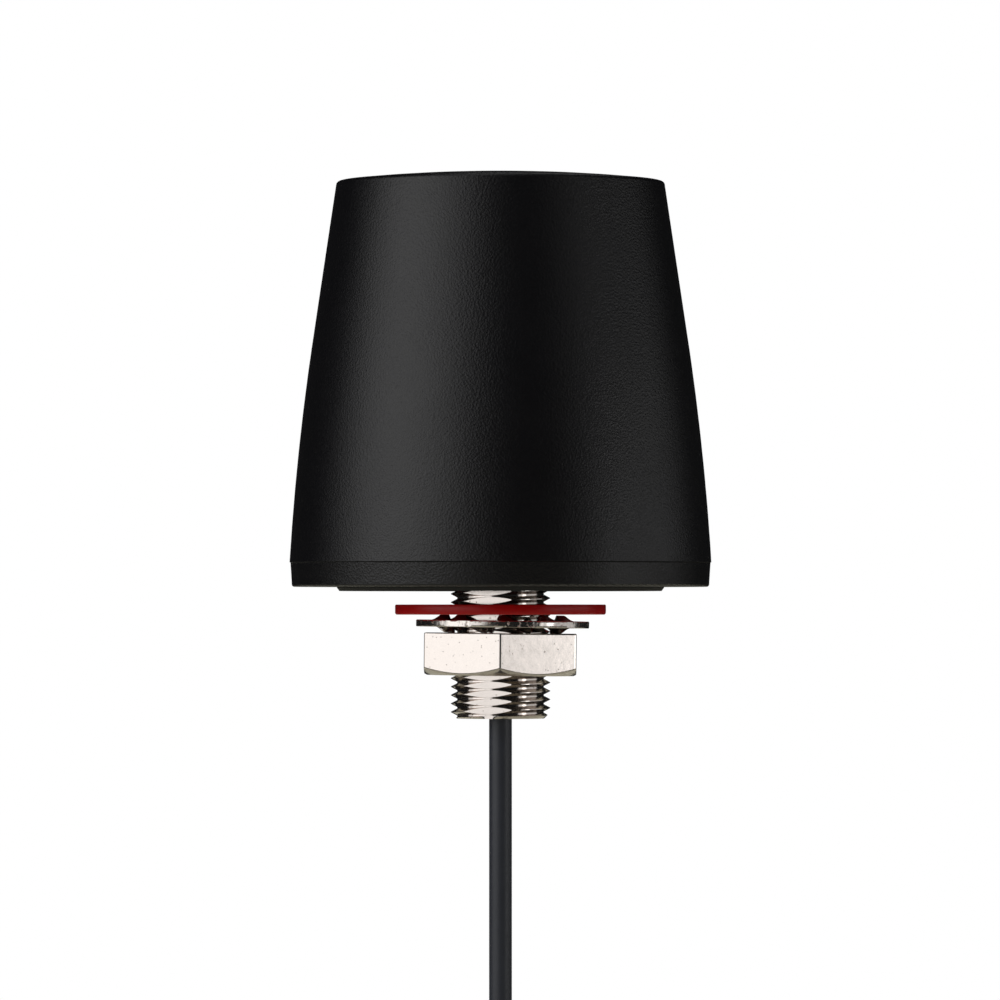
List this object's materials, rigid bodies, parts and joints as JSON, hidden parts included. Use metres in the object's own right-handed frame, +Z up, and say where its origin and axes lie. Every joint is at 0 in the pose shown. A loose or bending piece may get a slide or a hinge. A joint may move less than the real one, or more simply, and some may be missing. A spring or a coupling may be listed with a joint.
{
  "type": "panel-mount cellular antenna",
  "caption": "Black conical cellular antenna that stands on a panel by a threaded stud with washers and a hex nut; its thin coaxial lead ends in a screw-on plug.",
  "frame": {"origin": "on the stud's axis, in the plane where the gasket meets the panel's upper face", "axes": "+Z up along the stud into the housing; -Y towards the viewer of the picture, +X to the right"},
  "size_m": [0.05, 0.05, 0.2031],
  "materials": {
    "abs_black": "moulded ABS, fine spark-eroded leather grain, satin",
    "silicone_black": "moulded silicone rubber",
    "silicone_red": "moulded silicone rubber",
    "foam_rubber": "closed-cell foam rubber, die cut",
    "nickel_plate": "turned brass, nickel plated, bright",
    "epoxy_black": "cast epoxy",
    "red_fibre": "punched fibre washer, dark red, slightly glossy",
    "plated_spring_steel": "stamped spring steel, nickel plated, sheared edges",
    "tinned_steel": "tin-plated steel sheet",
    "zinc_screws": "zinc-plated steel",
    "glass_fibre_board": "glass-fibre laminate with green resist",
    "copper_foil": "etched copper foil",
    "cable_jacket": "extruded soft PVC jacket, satin",
    "woven_tie": "woven hook-and-loop strap",
    "shrink_sleeve": "heat-shrunk polyolefin sleeve",
    "gold_plate": "turned brass, thin gold plate",
    "ptfe_white": "turned PTFE"
  },
  "bodies": {
    "antenna": {"radome": "abs_black", "base_plate": "abs_black", "radome_seal": "silicone_black", "base_gasket": "foam_rubber", "threaded_stud": "nickel_plate", "stud_potting": "epoxy_black", "red_washer": "red_fibre", "tooth_lock_washer": "plated_spring_steel", "hex_nut": "nickel_plate", "ground_plate": "tinned_steel", "ground_screws": "zinc_screws", "cover_screws": "zinc_screws", "antenna_board": "glass_fibre_board", "radiator_foil": "copper_foil", "grounding_foil": "copper_foil", "board_bracket_back": "tinned_steel", "board_bracket_front": "tinned_steel", "cable_feed": "cable_jacket", "feed_ferrule": "tinned_steel", "coax_cable": "cable_jacket", "cable_hank": "cable_jacket", "hank_tie": "woven_tie", "cable_tail": "cable_jacket", "plug_sleeve": "shrink_sleeve", "crimp_ferrule": "gold_plate", "cable_plug_end": "cable_jacket", "plug_body": "gold_plate", "snap_ring": "plated_spring_steel", "plug_insulator": "ptfe_white", "centre_contact": "gold_plate", "plug_seal": "silicone_red"},
    "coupling": {"coupling_nut": "gold_plate"}
  },
  "joints": [
    {"name": "coupling_nut_spin", "type": "hinge", "parent": "antenna", "child": "coupling", "pos_m": [0, -0.0054, -0.149], "axis": [0, 0, 1], "continuous": true}
  ]
}
